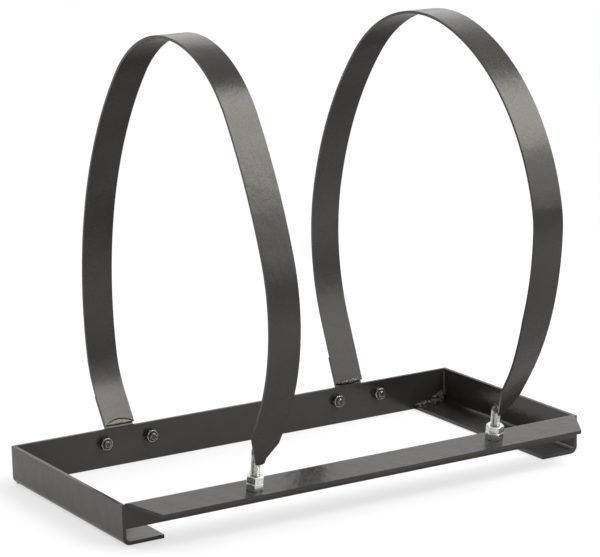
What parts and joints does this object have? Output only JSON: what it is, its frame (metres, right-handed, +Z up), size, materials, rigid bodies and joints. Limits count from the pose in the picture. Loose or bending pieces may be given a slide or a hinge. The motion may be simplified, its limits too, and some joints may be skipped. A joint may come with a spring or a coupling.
{
  "type": "gas cylinder bracket",
  "caption": "Folded steel base frame with tall strap hoops, bolted at the rear and drawn down by threaded rods in front, to hold a gas cylinder on its side.",
  "frame": {"origin": "centre of the base frame's footprint, on the surface that the frame stands on", "axes": "+X along the cylinder, to the right seen from the front; -Y is the front, with the drooping flange and the threaded rods; +Z up"},
  "size_m": [0.57, 0.4413, 0.498],
  "materials": {
    "frame_coating": "satin black paint over folded and welded steel",
    "strap_coating": "satin black paint over flat bar",
    "zinc_thread": "bright zinc plating, threaded",
    "zinc_nut": "bright zinc plating",
    "worn_black": "black paint worn bright on the corners"
  },
  "bodies": {
    "bracket": {"left_end_member": "frame_coating", "right_end_member": "frame_coating", "rear_rail": "frame_coating", "front_rail": "frame_coating", "left_strap": "strap_coating", "right_strap": "strap_coating", "left_foot_bracket": "strap_coating", "right_foot_bracket": "strap_coating", "left_rod": "zinc_thread", "right_rod": "zinc_thread", "left_outer_bolt": "worn_black", "left_inner_bolt": "worn_black", "right_inner_bolt": "worn_black", "right_outer_bolt": "worn_black", "left_outer_bolt_nut": "worn_black", "left_inner_bolt_nut": "worn_black", "right_inner_bolt_nut": "worn_black", "right_outer_bolt_nut": "worn_black"},
    "left_lower_nut": {"left_lower_nut": "zinc_nut"},
    "left_upper_nut": {"left_upper_nut": "zinc_nut"},
    "right_lower_nut": {"right_lower_nut": "zinc_nut"},
    "right_upper_nut": {"right_upper_nut": "zinc_nut"}
  },
  "joints": [
    {"name": "left_upper_nut_travel", "type": "slide", "parent": "bracket", "child": "left_upper_nut", "axis": [0, -0.165, 0.9863], "range_m": [0, 0.012]},
    {"name": "left_lower_nut_travel", "type": "slide", "parent": "bracket", "child": "left_lower_nut", "axis": [0, -0.165, 0.9863], "range_m": [0, 0.012]},
    {"name": "right_upper_nut_travel", "type": "slide", "parent": "bracket", "child": "right_upper_nut", "axis": [0, -0.165, 0.9863], "range_m": [0, 0.012]},
    {"name": "right_lower_nut_travel", "type": "slide", "parent": "bracket", "child": "right_lower_nut", "axis": [0, -0.165, 0.9863], "range_m": [0, 0.012]}
  ],
  "couplings": [
    {"joint": "left_lower_nut_travel", "follows": "left_upper_nut_travel", "ratio": 1},
    {"joint": "right_lower_nut_travel", "follows": "right_upper_nut_travel", "ratio": 1}
  ]
}
